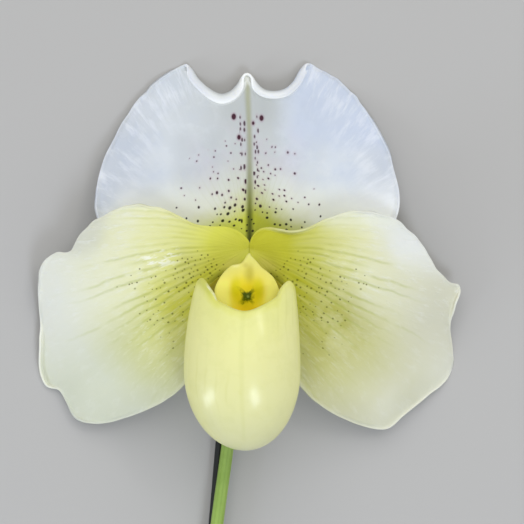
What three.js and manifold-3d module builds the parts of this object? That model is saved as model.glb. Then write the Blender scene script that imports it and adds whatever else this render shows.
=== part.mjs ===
// A slipper orchid bloom on its cut scape, lying on its back, with the thin stake that is
// tied to the scape. Millimetres, +Z up. The bloom faces +Z, its hooded upper sepal points
// to +Y and the scape runs to -Y. Every outline below is measured from the bloom's heart,
// where petals, sepals, lip and column meet; the whole is then moved so that the origin is
// at the centre of its footprint, on the surface it lies on.
import * as THREE from "three";
import { mergeVertices } from "three/addons/utils/BufferGeometryUtils.js";
import Module from "manifold-3d";

const wasm = await Module();
wasm.setup();

// Driving dimensions.
const floorZ = -3.3; // the surface under the bloom, seen from the heart's height
const clearance = 0.3; // between neighbouring pieces
const petalThick = 1.1;
const sepalThick = 1.1;
const marginThick = 0.7; // of petals and sepals, at their edge
const pouchWall = 1.2;
const scapeRadius = 1.65;
const ovaryRadius = 2.4;
const stakeRadius = 1.1;
const stakeTop = -48.5; // along Y
const stakeFoot = -150;
const tieY = -96;
const tieLength = 3.5;
const tieThick = 0.6;

// Outlines of the blades, seen from the front, round from the heart.
const petalLeftOutline = [
  [-0.6, 0.2], [-2.4, 2.4], [-5.4, 3.5], [-9.7, 3.7], [-13.6, 4.3], [-18.0, 6.5], [-22.7, 8.5],
  [-27.9, 9.3], [-32.6, 8.8], [-38.0, 6.4], [-42.7, 3.1], [-45.2, 0.2], [-48.0, -2.5],
  [-51.6, -3.1], [-54.2, -5.2], [-56.0, -10.5], [-56.0, -18.5], [-55.4, -26.5], [-55.7, -34.5],
  [-54.1, -38.6], [-50.8, -40.1], [-48.7, -43.6], [-46.2, -47.6], [-40.9, -48.9], [-34.5, -47.7],
  [-26.5, -44.6], [-19.5, -40.6], [-14.2, -34.0], [-11.6, -24.0], [-8.0, -14.0], [-4.2, -6.8],
  [-1.2, -2.2],
];
const petalRightOutline = [
  [0.6, -0.4], [1.2, 1.6], [2.8, 2.9], [5.4, 3.2], [10.8, 1.7], [14.3, 2.2], [20.1, 5.6],
  [26.0, 7.4], [32.9, 7.4], [39.5, 5.0], [44.9, 0.0], [50.4, -8.1], [53.4, -10.9], [56.0, -11.6],
  [56.4, -12.9], [54.8, -16.6], [54.1, -22.6], [55.0, -29.0], [55.3, -33.0], [53.5, -37.0],
  [47.0, -42.2], [41.0, -46.8], [37.4, -49.8], [32.6, -49.9], [25.6, -47.3], [19.0, -43.4],
  [13.5, -37.5], [11.4, -31.0], [10.2, -22.0], [7.4, -13.0], [4.0, -6.8], [1.2, -2.6],
];
const dorsalOutline = [
  [0.0, 0.5], [3.6, -0.6], [9.8, -1.8], [18.8, -2.6], [29.2, -1.5], [36.8, 2.0], [39.8, 8.6],
  [39.6, 14.8], [36.9, 24.0], [31.0, 35.0], [24.4, 42.6], [18.6, 46.5], [16.4, 47.5], [14.4, 46.0],
  [12.0, 42.0], [9.6, 40.0], [6.8, 39.4], [4.2, 39.9], [2.3, 41.5], [0.7, 43.7], [-0.4, 44.4],
  [-1.4, 43.7], [-2.7, 41.6], [-4.6, 39.6], [-7.0, 38.7], [-9.6, 39.6], [-13.4, 42.8],
  [-15.4, 45.8], [-16.9, 47.1], [-18.8, 46.7], [-24.4, 43.0], [-31.4, 35.4], [-37.4, 24.2],
  [-40.2, 14.6], [-40.2, 8.0], [-36.9, 1.9], [-29.5, -1.5], [-19.0, -2.6], [-9.9, -1.8], [-3.6, -0.6],
];
const ventralOutline = [
  [0.0, -0.5], [-2.6, -1.4], [-5.2, -6.0], [-7.6, -13.0], [-9.2, -22.0], [-8.9, -31.0], [-6.8, -39.0],
  [-3.4, -44.6], [-0.6, -46.8], [2.2, -44.6], [5.4, -39.0], [7.4, -31.0], [7.8, -22.0], [6.6, -13.0],
  [4.8, -6.0], [2.6, -1.4],
];
const shieldOutline = [
  [0.4, -2.9], [-1.0, -4.6], [-2.8, -6.0], [-4.9, -7.2], [-6.8, -9.5], [-8.0, -11.9], [-8.3, -14.0],
  [-7.6, -15.8], [-5.4, -17.5], [-2.9, -18.7], [0.0, -19.2], [2.9, -18.6], [5.6, -17.2],
  [7.6, -15.0], [8.4, -13.2], [7.9, -11.2], [6.4, -8.7], [4.6, -6.7], [2.4, -4.8],
];

// Mesh helpers.

function solid(points, triangles) {
  const geometry = new THREE.BufferGeometry().setFromPoints(points);
  geometry.setIndex(triangles);
  const merged = mergeVertices(geometry, 1e-4);
  merged.computeVertexNormals();
  return merged;
}

function gridTriangles(columns, rowStart, rowNext, flip) {
  const triangles = [];
  for (let i = 0; i < columns; i++) {
    const j = (i + 1) % columns;
    const quad = [rowStart + i, rowStart + j, rowNext + j, rowNext + i];
    const order = flip ? [0, 2, 1, 0, 3, 2] : [0, 1, 2, 0, 2, 3];
    triangles.push(...order.map((corner) => quad[corner]));
  }
  return triangles;
}

// Closed rings of equally many points, joined in turn, with a fan at either end.
function loft(rings) {
  const columns = rings[0].length;
  const points = rings.flat();
  const triangles = [];
  for (let r = 0; r + 1 < rings.length; r++) {
    triangles.push(...gridTriangles(columns, r * columns, (r + 1) * columns, false));
  }
  const lastRow = (rings.length - 1) * columns;
  for (const [row, ring, flip] of [[0, rings[0], true], [lastRow, rings.at(-1), false]]) {
    const centre = new THREE.Vector3();
    ring.forEach((point) => centre.addScaledVector(point, 1 / columns));
    const tip = points.push(centre) - 1;
    for (let i = 0; i < columns; i++) {
      const j = (i + 1) % columns;
      triangles.push(tip, row + (flip ? j : i), row + (flip ? i : j));
    }
  }
  return solid(points, triangles);
}

function roundedOutline(corners, perSpan) {
  const curve = new THREE.CatmullRomCurve3(
    corners.map(([x, y]) => new THREE.Vector3(x, y, 0)), true, "centripetal");
  const count = corners.length * perSpan;
  return Array.from({ length: count }, (_, i) => curve.getPoint(i / count));
}

// A thin blade: rings of the outline shrink towards its middle, the front face stands at
// height(x, y, reach, turn), and the back face lies one thickness behind it. Reach is 0 in
// the middle and 1 at the margin; turn is the direction from the middle, in radians. Where
// it would sink into the surface it is pressed flat on it.
function blade({ outline, middle, height, thick, edge, perSpan, reaches }) {
  const rim = roundedOutline(outline, perSpan);
  const columns = rim.length;
  const front = [];
  const back = [];
  const place = (x, y, reach, turn) => {
    const step = 0.05;
    const z = height(x, y, reach, turn);
    const slopeX = (height(x + step, y, reach, turn) - z) / step;
    const slopeY = (height(x, y + step, reach, turn) - z) / step;
    const behind = new THREE.Vector3(slopeX, slopeY, -1).normalize();
    const pressed = z < floorZ + marginThick;
    const here = new THREE.Vector3(x, y, pressed ? floorZ + marginThick : z);
    const depth = THREE.MathUtils.lerp(thick, edge, reach ** 4);
    const rear = here.clone().addScaledVector(behind, depth);
    rear.z = pressed ? floorZ : Math.max(rear.z, floorZ);
    front.push(here);
    back.push(rear);
  };
  place(middle[0], middle[1], 0, 0);
  for (const reach of reaches) {
    for (const point of rim) {
      const x = THREE.MathUtils.lerp(middle[0], point.x, reach);
      const y = THREE.MathUtils.lerp(middle[1], point.y, reach);
      place(x, y, reach, Math.atan2(point.y - middle[1], point.x - middle[0]));
    }
  }
  const rear = front.length;
  const clockwise = THREE.ShapeUtils.area(rim) < 0;
  const triangles = [];
  for (let i = 0; i < columns; i++) {
    const j = (i + 1) % columns;
    const [a, b] = clockwise ? [j, i] : [i, j];
    triangles.push(0, 1 + a, 1 + b, rear, rear + 1 + b, rear + 1 + a);
  }
  for (let r = 0; r + 1 < reaches.length; r++) {
    const row = 1 + r * columns;
    triangles.push(...gridTriangles(columns, row + columns, row, clockwise));
    triangles.push(...gridTriangles(columns, rear + row + columns, rear + row, clockwise).reverse());
  }
  const margin = 1 + (reaches.length - 1) * columns;
  triangles.push(...gridTriangles(columns, rear + margin, margin, clockwise));
  return solid([...front, ...back], triangles);
}

// Rings square to a path that never runs along X.
function pathRings(path, steps, sides, radiusAt) {
  const rings = [];
  for (let s = 0; s <= steps; s++) {
    const t = s / steps;
    const centre = path.getPoint(t);
    const along = path.getTangent(t);
    const across = new THREE.Vector3(1, 0, 0).addScaledVector(along, -along.x).normalize();
    const up = new THREE.Vector3().crossVectors(along, across);
    rings.push(Array.from({ length: sides }, (_, i) => {
      const angle = (i / sides) * 2 * Math.PI;
      const radius = radiusAt(t, angle);
      return centre.clone()
        .addScaledVector(across, radius * Math.cos(angle))
        .addScaledVector(up, radius * Math.sin(angle));
    }));
  }
  return rings;
}

function toManifold(geometry) {
  const bare = geometry.index ? geometry.clone() : mergeVertices(geometry);
  bare.deleteAttribute("normal");
  bare.deleteAttribute("uv");
  const merged = mergeVertices(bare, 1e-4);
  return new wasm.Manifold(new wasm.Mesh({
    numProp: 3,
    vertProperties: new Float32Array(merged.attributes.position.array),
    triVerts: new Uint32Array(merged.index.array),
  }));
}

function fuse(geometries) {
  const whole = geometries.map(toManifold).reduce((sum, next) => sum.add(next));
  const mesh = whole.getMesh();
  const geometry = new THREE.BufferGeometry();
  geometry.setAttribute("position", new THREE.BufferAttribute(mesh.vertProperties, 3));
  geometry.setIndex([...mesh.triVerts]);
  geometry.computeVertexNormals();
  return geometry;
}

function flat(x) {
  return Math.sqrt(x * x + 16) - 4;
}

function bump(x, width) {
  return Math.exp(-(x / width) * (x / width));
}

// Petals: arched along their length, with a soft ridge from the heart outwards, swept back
// on both sides of it, and a gently waved margin.
function petalHeight(side, tilt) {
  const axis = THREE.MathUtils.degToRad(tilt);
  const alongX = side * Math.cos(axis);
  const alongY = Math.sin(axis);
  return (x, y, reach, turn) => {
    const u = (x - side) * alongX + (y + 1) * alongY;
    const w = (y + 1) * Math.abs(alongX) - (x - side) * alongY * side;
    const sweep = w > 0 ? 0.22 * flat(w) : 0.1 * flat(w) + 0.0022 * w * w;
    const wave = 0.55 * Math.sin(5 * turn) + 0.35 * Math.sin(9 * turn + 1);
    return 14.5 + 0.3 * u - 0.0094 * u * u - sweep + wave * reach ** 4;
  };
}

function petal(side, outline, tilt) {
  return blade({
    outline,
    middle: [side * 30, -18],
    height: petalHeight(side, tilt),
    thick: petalThick,
    edge: marginThick,
    perSpan: 2,
    reaches: [0.3, 0.6, 0.84, 1],
  });
}

// Upper sepal: leans back, arches across, with a raised keel along its middle and a margin
// that turns forward in the two hollows beside its tip.
function dorsalHeight(x, y, reach, turn) {
  const lean = 13.1 - 0.324 * y - 0.0028 * x * x;
  const keel = 0.5 * bump(x, 1.4);
  const hollows = bump(x - 7, 5) + bump(x + 7, 5);
  const turned = y > 20 ? 1.6 * hollows * Math.max(0, (reach - 0.84) / 0.16) : 0;
  const wave = 0.5 * Math.sin(6 * turn) * reach ** 4;
  return lean + keel + turned + (y > 4 ? wave : 0);
}

function dorsalSepal() {
  return blade({
    outline: dorsalOutline,
    middle: [0, 18],
    height: dorsalHeight,
    thick: sepalThick,
    edge: marginThick,
    perSpan: 2,
    reaches: [0.3, 0.6, 0.84, 1],
  });
}

// Lower sepal pair, grown together behind the pouch.
function ventralSepal() {
  return blade({
    outline: ventralOutline,
    middle: [-0.6, -22],
    height: (x, y) => 12.7 + 0.07 * y + 0.0011 * y * y + 0.008 * x * x,
    thick: sepalThick,
    edge: marginThick,
    perSpan: 2,
    reaches: [0.5, 1],
  });
}

// The pouch: an egg-shaped slipper with an oval section, widest about two thirds down.
const pouchToe = -53.1;
const pouchWidest = -33;
const pouchDeepest = -31;
const pouchHalfWidth = 14.65;
const pouchHalfDepth = 12.1;

function pouchRadius(y, full, level, narrowing, inset) {
  if (y > level) {
    return full - inset - narrowing * (y - level) ** 2;
  }
  const share = Math.min(1, (level - y) / (level - pouchToe - inset));
  return (full - inset) * Math.sqrt(1 - share * share);
}

function pouchPoint(angle, y, inset) {
  const halfWidth = pouchRadius(y, pouchHalfWidth, pouchWidest, 0.0045, inset);
  const halfDepth = pouchRadius(y, pouchHalfDepth, pouchDeepest, 0.0075, inset);
  const middleX = -1.35 + 0.0016 * (y - pouchWidest) ** 2;
  const middleZ = 26 - 0.004 * (y - pouchDeepest) ** 2;
  return new THREE.Vector3(
    middleX + halfWidth * Math.sin(angle), y, middleZ + halfDepth * Math.cos(angle));
}

// Height of the rim by angle from the front: low in front, an ear on each side, a dip
// behind the ear, and the claw at the back that joins the heart.
const rimCurve = new THREE.CatmullRomCurve3([
  [-20, -16.4], [0, -17.5], [20, -16.4], [32, -15.1], [40, -13.6], [48, -11.5], [60, -9.8],
  [75, -10.6], [92, -12.5], [120, -12.0], [150, -8.6], [180, -5.6], [210, -8.6],
].map(([angle, y]) => new THREE.Vector3(angle, y, 0)), false, "centripetal");
const rimTable = rimCurve.getPoints(240);

function rimHeight(angle) {
  const degrees = Math.abs(THREE.MathUtils.radToDeg(angle));
  const next = rimTable.findIndex((point) => point.x >= degrees);
  const [from, to] = [rimTable[next - 1], rimTable[next]];
  return THREE.MathUtils.mapLinear(degrees, from.x, to.x, from.y, to.y);
}

function labellum() {
  const columns = 40;
  const wallRows = 13;
  const rings = [];
  const addRing = (place) => {
    rings.push(Array.from({ length: columns }, (_, i) => {
      const angle = (i / columns - 0.5) * 2 * Math.PI;
      const fold = 3.2 * (bump(Math.abs(angle) - 1.95, 0.5));
      return place(angle, rimHeight(angle), fold);
    }));
  };
  for (let row = 1; row <= wallRows; row++) {
    const rise = (row / wallRows) ** 1.7;
    addRing((angle, rim) => pouchPoint(angle, THREE.MathUtils.lerp(pouchToe, rim, rise), 0));
  }
  addRing((angle, rim, fold) => pouchPoint(angle, rim + 0.25 - 0.3 * fold, 0.6 + 0.5 * fold));
  addRing((angle, rim, fold) => pouchPoint(angle, rim - 0.9 * fold, pouchWall + fold));
  addRing((angle, rim, fold) => pouchPoint(angle, rim - 0.9 - 0.95 * fold, pouchWall + fold));
  for (let row = wallRows - 1; row >= 1; row--) {
    const rise = (row / wallRows) ** 1.7;
    const innerToe = pouchToe + pouchWall;
    addRing((angle, rim) => pouchPoint(angle, THREE.MathUtils.lerp(innerToe, rim - 1, rise), pouchWall));
  }
  return loft(rings);
}

// The column: a short stalk from the heart, the two anthers and the stigma under it, and
// the shield that closes the mouth of the pouch.
function shieldHeight(x, y) {
  const fall = y > -13 ? 0.045 : 0.025;
  const lobes = bump(Math.hypot(x + 2.9, y + 11.7), 2.2) + bump(Math.hypot(x - 2.6, y + 11.7), 2.2);
  const boss = bump(Math.hypot(x + 0.5, y + 14.8), 1.4);
  return 27.5 - fall * (y + 13) ** 2 - 0.02 * x * x + 0.5 * lobes + 0.4 * boss;
}

function column() {
  const shield = blade({
    outline: shieldOutline,
    middle: [0, -12.5],
    height: shieldHeight,
    thick: 2.0,
    edge: 1.0,
    perSpan: 2,
    reaches: [0.35, 0.7, 1],
  });
  const stalkPath = new THREE.CatmullRomCurve3([
    new THREE.Vector3(0, -2.7, 15.5),
    new THREE.Vector3(0, -2.9, 17.5),
    new THREE.Vector3(0, -4.8, 21),
    new THREE.Vector3(0, -9.4, 25.2),
  ]);
  const stalk = loft(pathRings(stalkPath, 8, 14, (t) => 2.0 + 0.7 * t));
  const anthers = [-1, 1].map((side) =>
    new THREE.SphereGeometry(1.5, 12, 8).translate(side * 3.0, -6.9, 21.6));
  const stigma = new THREE.SphereGeometry(2.6, 14, 10).scale(1, 1, 0.6).translate(0, -9.6, 21.8);
  return fuse([shield, stalk, ...anthers, stigma]);
}

// Ovary and its stalk: six-ribbed, a little twisted, curving back and down from the heart.
const ovaryPath = new THREE.CatmullRomCurve3([
  new THREE.Vector3(0, -0.6, 10.4),
  new THREE.Vector3(-0.1, -3.2, 8.4),
  new THREE.Vector3(-0.7, -9, 6.9),
  new THREE.Vector3(-2.2, -25, 4.4),
  new THREE.Vector3(-4.2, -44, 2.2),
]);

function ovaryRadiusAt(t) {
  const swell = Math.sin(Math.min(1, t / 0.75) * Math.PI) ** 0.7;
  const neck = THREE.MathUtils.lerp(1.75, scapeRadius, t) * Math.sqrt(Math.min(1, 0.5 + t / 0.08));
  return t < 0.75 ? Math.max(neck, THREE.MathUtils.lerp(neck, ovaryRadius, swell)) : neck;
}

function ovary() {
  const rings = pathRings(ovaryPath, 26, 24, (t, angle) => {
    const ribs = 0.16 * Math.cos(6 * angle + 2 * t) * Math.sin(Math.PI * Math.min(1, t / 0.8));
    return ovaryRadiusAt(t) + ribs;
  });
  return loft(rings);
}

// Bract: a pointed leaf that clasps the lower end of the ovary, open along the top.
function bract() {
  const rows = 10;
  const columns = 12;
  const [start, end] = [0.985, 0.52]; // along the ovary's path
  const rings = [];
  for (let row = 0; row <= rows; row++) {
    const share = row / rows;
    const t = THREE.MathUtils.lerp(start, end, share);
    const centre = ovaryPath.getPoint(t);
    const along = ovaryPath.getTangent(t);
    const across = new THREE.Vector3(1, 0, 0).addScaledVector(along, -along.x).normalize();
    const up = new THREE.Vector3().crossVectors(across, along);
    const spread = THREE.MathUtils.lerp(2.5, 0.12, share ** 2.2);
    const inner = ovaryRadiusAt(t) + 0.55 + 0.5 * share;
    const ring = [];
    for (const [radius, way] of [[inner + 0.8, 1], [inner, -1]]) {
      for (let i = 0; i <= columns; i++) {
        const angle = -Math.PI / 2 + way * THREE.MathUtils.lerp(-spread, spread, i / columns);
        ring.push(centre.clone()
          .addScaledVector(across, radius * Math.cos(angle))
          .addScaledVector(up, radius * Math.sin(angle)));
      }
    }
    rings.push(ring);
  }
  return loft(rings);
}

// Scape: the flower stem, from the bract's node to its cut end, resting on the stake.
const scapePath = new THREE.CatmullRomCurve3([
  new THREE.Vector3(-4.24, -44.35, 2.17),
  new THREE.Vector3(-5.67, -56, 1.95),
  new THREE.Vector3(-8.33, -75.5, 2.2),
  new THREE.Vector3(-11.1, -100, 2.0),
  new THREE.Vector3(-13.2, -122, 1.6),
  new THREE.Vector3(-15.1, -142, 1.15),
]);

function scape() {
  return loft(pathRings(scapePath, 30, 16, (t) => {
    const node = 0.35 * bump(t, 0.02);
    return scapeRadius + 0.1 * t + node;
  }));
}

// Stake: a straight rod whose foot touches the surface, under the scape.
const stakeLine = new THREE.Line3(
  new THREE.Vector3(-15.97, stakeFoot, floorZ + stakeRadius + 0.03),
  new THREE.Vector3(-7.2, stakeTop, floorZ + stakeRadius + 2.03));

function stake() {
  const rod = new THREE.CylinderGeometry(stakeRadius, stakeRadius, stakeLine.distance(), 16);
  const along = stakeLine.delta(new THREE.Vector3()).normalize();
  rod.applyQuaternion(new THREE.Quaternion().setFromUnitVectors(new THREE.Vector3(0, 1, 0), along));
  const centre = stakeLine.getCenter(new THREE.Vector3());
  rod.translate(centre.x, centre.y, centre.z);
  return rod;
}

// Tie: a soft band round scape and stake.
function bandOutline(centres, radii) {
  const apart = centres[1].clone().sub(centres[0]);
  const facing = Math.atan2(apart.y, apart.x);
  const lean = Math.acos((radii[0] - radii[1]) / apart.length());
  const outline = new THREE.Path();
  outline.absarc(centres[0].x, centres[0].y, radii[0], facing + lean, facing - lean + 2 * Math.PI);
  outline.absarc(centres[1].x, centres[1].y, radii[1], facing - lean, facing + lean);
  return outline.getPoints(8);
}

function tie() {
  const onScape = scapePath.getPoints(400).reduce((best, point) =>
    Math.abs(point.y - tieY) < Math.abs(best.y - tieY) ? point : best);
  const onStake = stakeLine.at((tieY - stakeFoot) / (stakeTop - stakeFoot), new THREE.Vector3());
  const centres = [new THREE.Vector2(onScape.x, onScape.z), new THREE.Vector2(onStake.x, onStake.z)];
  const radii = [scapeRadius + 0.1, stakeRadius];
  const inner = bandOutline(centres, radii.map((radius) => radius + clearance));
  const outer = bandOutline(centres, radii.map((radius) => radius + clearance + tieThick));
  const shape = new THREE.Shape(outer);
  shape.holes.push(new THREE.Path(inner));
  const band = new THREE.ExtrudeGeometry(shape, { depth: tieLength, bevelEnabled: false });
  return band.rotateX(Math.PI / 2).translate(0, tieY + tieLength / 2, 0);
}

// Colours of the living tissue, the stake and the tie.
const finish = {
  whiteSepal: { color: 0xe3e6ec, roughness: 0.45 },
  creamPetal: { color: 0xe9ebc4, roughness: 0.4 },
  paleLip: { color: 0xe8e8a4, roughness: 0.35 },
  yellowColumn: { color: 0xe2d84e, roughness: 0.4 },
  greenStem: { color: 0x8fae4e, roughness: 0.5 },
  paleBract: { color: 0xa9bf6a, roughness: 0.55 },
  darkStake: { color: 0x142016, roughness: 0.5 },
  softTie: { color: 0x2f5a33, roughness: 0.6 },
};

const bloom = new THREE.Group();

function add(name, geometry, look) {
  const mesh = new THREE.Mesh(geometry, new THREE.MeshStandardMaterial({ ...look, metalness: 0 }));
  mesh.name = name;
  bloom.add(mesh);
}

add("dorsal_sepal", dorsalSepal(), finish.whiteSepal);
add("ventral_sepal", ventralSepal(), finish.whiteSepal);
add("petal_left", petal(-1, petalLeftOutline, -4), finish.creamPetal);
add("petal_right", petal(1, petalRightOutline, -11.5), finish.creamPetal);
add("labellum", labellum(), finish.paleLip);
add("column", column(), finish.yellowColumn);
add("ovary", ovary(), finish.greenStem);
add("bract", bract(), finish.paleBract);
add("scape", scape(), finish.greenStem);
add("stake", stake(), finish.darkStake);
add("tie", tie(), finish.softTie);

const footprint = new THREE.Box3().setFromObject(bloom, true);
const middle = footprint.getCenter(new THREE.Vector3());
bloom.position.set(-middle.x, -middle.y, -footprint.min.z);

const orchid = new THREE.Group();
orchid.add(bloom);

export default orchid;
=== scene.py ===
import math
import bpy
import numpy as np
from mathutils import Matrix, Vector


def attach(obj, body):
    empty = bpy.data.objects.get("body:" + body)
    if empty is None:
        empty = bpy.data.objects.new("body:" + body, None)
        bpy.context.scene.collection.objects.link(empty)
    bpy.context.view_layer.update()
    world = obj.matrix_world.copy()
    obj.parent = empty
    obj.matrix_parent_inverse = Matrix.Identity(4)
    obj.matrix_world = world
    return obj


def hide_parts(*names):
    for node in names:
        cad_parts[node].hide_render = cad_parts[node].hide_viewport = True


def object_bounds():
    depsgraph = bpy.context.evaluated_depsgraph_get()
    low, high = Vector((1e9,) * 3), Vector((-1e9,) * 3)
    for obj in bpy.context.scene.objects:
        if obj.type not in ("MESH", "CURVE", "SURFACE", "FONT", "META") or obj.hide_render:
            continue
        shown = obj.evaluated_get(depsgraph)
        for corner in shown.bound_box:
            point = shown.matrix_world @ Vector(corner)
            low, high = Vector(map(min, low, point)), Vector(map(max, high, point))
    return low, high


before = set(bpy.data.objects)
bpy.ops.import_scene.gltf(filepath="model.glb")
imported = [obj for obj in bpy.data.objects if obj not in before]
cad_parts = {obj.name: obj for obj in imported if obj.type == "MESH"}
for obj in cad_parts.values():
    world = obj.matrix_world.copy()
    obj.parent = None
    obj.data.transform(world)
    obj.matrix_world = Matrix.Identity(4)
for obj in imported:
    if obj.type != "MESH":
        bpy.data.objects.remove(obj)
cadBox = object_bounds()

mm = 0.001
scene = bpy.context.scene

# everything below is in millimetres from the bloom's heart, +x right, +y up, +z out of its face
bloom = {
    "reachLeft": 56.18,  # from the heart to the part's left edge
    "reachUp": 47.5,  # to its upper edge
    "height": 3.3,  # of the heart's zero level over the surface
}
heart = np.array([
    cadBox[0][0] / mm + bloom["reachLeft"],
    cadBox[1][1] / mm - bloom["reachUp"],
    cadBox[0][2] / mm + bloom["height"],
])
print("frame loaded, heart at", heart.round(2))


# helpers that shape a mesh

def add(name, primitive, **settings):
    bpy.ops.object.select_all(action="DESELECT")
    primitive(**settings)
    piece = bpy.context.object
    piece.name = piece.data.name = name
    return piece


def readPoints(piece):
    at = np.empty(len(piece.data.vertices) * 3)
    piece.data.vertices.foreach_get("co", at)
    return at.reshape(-1, 3)


def startBall(name, columns, rows):
    # a closed skin of rows from pole to pole, ready to be shaped
    ball = bpy.ops.mesh.primitive_uv_sphere_add
    piece = add(name, ball, segments=columns, ring_count=rows, radius=1)
    x, y, z = readPoints(piece).T
    column = np.rint(np.arctan2(y, x) / (2 * math.pi) * columns).astype(int) % columns
    row = np.rint(np.arccos(np.clip(z, -1, 1)) / math.pi * rows).astype(int)
    return piece, row, column


def modify(piece, kind, **settings):
    change = piece.modifiers.new(kind.lower(), kind)
    for key, value in settings.items():
        setattr(change, key, value)
    bpy.ops.object.modifier_apply(modifier=change.name)


def setShape(piece, points, **marks):
    # points in millimetres from the heart; marks, up to three values each, are for the finish
    mesh = piece.data
    mesh.vertices.foreach_set("co", ((points + heart) * mm).astype(np.float32).ravel())
    for name, parts in marks.items():
        values = np.zeros((len(points), 3), np.float32)
        values[:, :len(parts)] = np.stack(parts, axis=1)
        mark = mesh.attributes.new(name=name, type="FLOAT_VECTOR", domain="POINT")
        mark.data.foreach_set("vector", values.ravel())
    mesh.update()
    bpy.ops.object.select_all(action="DESELECT")
    piece.select_set(True)
    bpy.context.view_layer.objects.active = piece
    bpy.ops.object.mode_set(mode="EDIT")
    bpy.ops.mesh.select_all(action="SELECT")
    bpy.ops.mesh.normals_make_consistent(inside=False)
    bpy.ops.object.mode_set(mode="OBJECT")
    bpy.ops.object.shade_smooth()


def lerp(a, b, t):
    return a + (b - a) * t


def bump(x, width):
    return np.exp(-(x / width) ** 2)


def smooth(low, high, x):
    t = np.clip((x - low) / (high - low), 0, 1)
    return t * t * (3 - 2 * t)


def softAbs(x, blunt=4):
    return np.sqrt(x * x + blunt * blunt) - blunt


def closedCurve(corners, count, crowding=None):
    # centripetal Catmull-Rom through the corners, then points along it, closer where crowded
    p = np.array(corners, float)
    fine = []
    for i in range(len(p)):
        a, b, c, d = (p[(i + k) % len(p)] for k in (-1, 0, 1, 2))
        spans = np.sqrt(np.linalg.norm(np.diff([a, b, c, d], axis=0), axis=1))
        t0, t1, t2, t3 = np.concatenate([[0], np.cumsum(spans)])
        t = np.linspace(t1, t2, 25)[:-1, None]

        def between(first, start, second, end):
            return first + (second - first) * (t - start) / (end - start)

        ab, bc, cd = between(a, t0, b, t1), between(b, t1, c, t2), between(c, t2, d, t3)
        fine.append(between(between(ab, t0, bc, t2), t1, between(bc, t1, cd, t3), t2))
    fine = np.concatenate(fine + [fine[0][:1]])
    steps = np.linalg.norm(np.diff(fine, axis=0), axis=1)
    if crowding:
        steps = steps * crowding(fine[1:, 0], fine[1:, 1])
    run = np.concatenate([[0], np.cumsum(steps)])
    at = np.linspace(0, run[-1], count + 1)[:-1]
    return np.stack([np.interp(at, run, fine[:, k]) for k in range(fine.shape[1])], axis=1)


def spline(a, b, c, d, u):
    # Catmull-Rom from b to c, as u goes from 0 to 1
    return 0.5 * (2 * b + (c - a) * u + (2 * a - 5 * b + 4 * c - d) * u ** 2
                  + (3 * b - a - 3 * c + d) * u ** 3)


def openCurve(corners, t):
    # Catmull-Rom through the corners, read at t from 0 to 1
    p = np.array(corners, float)
    p = np.vstack([2 * p[0] - p[1], p, 2 * p[-1] - p[-2]])
    spans = len(p) - 3
    at = np.clip(np.asarray(t, float) * spans, 0, spans - 1e-9)
    i = at.astype(int)
    u = (at - i)[..., None]
    a, b, c, d = p[i], p[i + 1], p[i + 2], p[i + 3]
    return spline(a, b, c, d, u)


def unit(v):
    return v / np.maximum(np.linalg.norm(v, axis=-1, keepdims=True), 1e-9)


def faceNormals(sheet):
    # sheet[level, column] runs outwards from the middle and round its rim
    out = np.gradient(sheet, axis=0)
    around = np.roll(sheet, -1, axis=1) - np.roll(sheet, 1, axis=1)
    out[0] = sheet[1] - sheet[0]
    around[0] = around[1]
    normal = unit(np.cross(out, around))
    normal[0] = unit(normal[1].mean(axis=0, keepdims=True))
    return normal * np.sign(normal[1:, :, 2].mean())


def fillIn(rim, middle, levels):
    # rings from the middle out to the rim; the rim's fine turns fade inwards
    loop = (rim[:, 0] - middle[0]) + 1j * (rim[:, 1] - middle[1])
    turns = np.fft.fft(loop)
    decay = np.abs(np.fft.fftfreq(len(loop))) * 2 * math.pi * levels
    decay[0] = 1e-6
    share = np.linspace(0, 1, levels + 1)[:, None]
    fade = np.exp(decay * (share - 1)) * (1 - np.exp(-2 * decay * share)) / (1 - np.exp(-2 * decay))
    rings = np.fft.ifft(turns * fade, axis=1)
    return np.stack([rings.real + middle[0], rings.imag + middle[1]], axis=2), share


def soften(loop, width):
    # smooths values that run round a rim
    reach = np.arange(-3 * width, 3 * width + 1)
    weight = np.exp(-0.5 * (reach / width) ** 2)
    return sum(w * np.roll(loop, -k, axis=0) for k, w in zip(reach, weight)) / weight.sum()


bladeRules = {
    "turned": 4,  # levels that round a margin
    "blur": 3,  # columns over which a margin is smoothed
    "flatShare": 0.97,  # of the way out, where a margin starts
    "fullCurl": 1.6,  # radians that count as a full curl
    "folded": 2.6,  # radians from which a margin comes down on the blade again
    "farOff": 9.0,  # stands for no such margin near
    "waves": ((17, 1, 1), (27, 0.8, 4), (41, 0.6, 2)),  # turns, strength and start of a ripple
}


def findRim(shape):
    # the outline as points, as uneven as a free margin is, and the way out at each
    blur, columns, waves = bladeRules["blur"], shape["columns"], bladeRules["waves"]
    rim = closedCurve(shape["outline"], columns, shape.get("crowding"))
    if np.sum(rim[:, 0] * np.roll(rim[:, 1], -1) - rim[:, 1] * np.roll(rim[:, 0], -1)) < 0:
        rim = rim[::-1]
    along = np.roll(rim, -blur, axis=0) - np.roll(rim, blur, axis=0)
    outward = unit(soften(unit(np.stack([along[:, 1], -along[:, 0]], axis=1)), blur))
    spin = np.arange(columns) / columns * 2 * math.pi
    ripple = sum(strength * np.sin(turns * spin + start) for turns, strength, start in waves)
    ripple = ripple / sum(strength for _, strength, _ in waves)
    ripple = ripple * shape["ripple"](rim[:, 0], rim[:, 1])
    return rim + outward * ripple[:, None], outward


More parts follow.
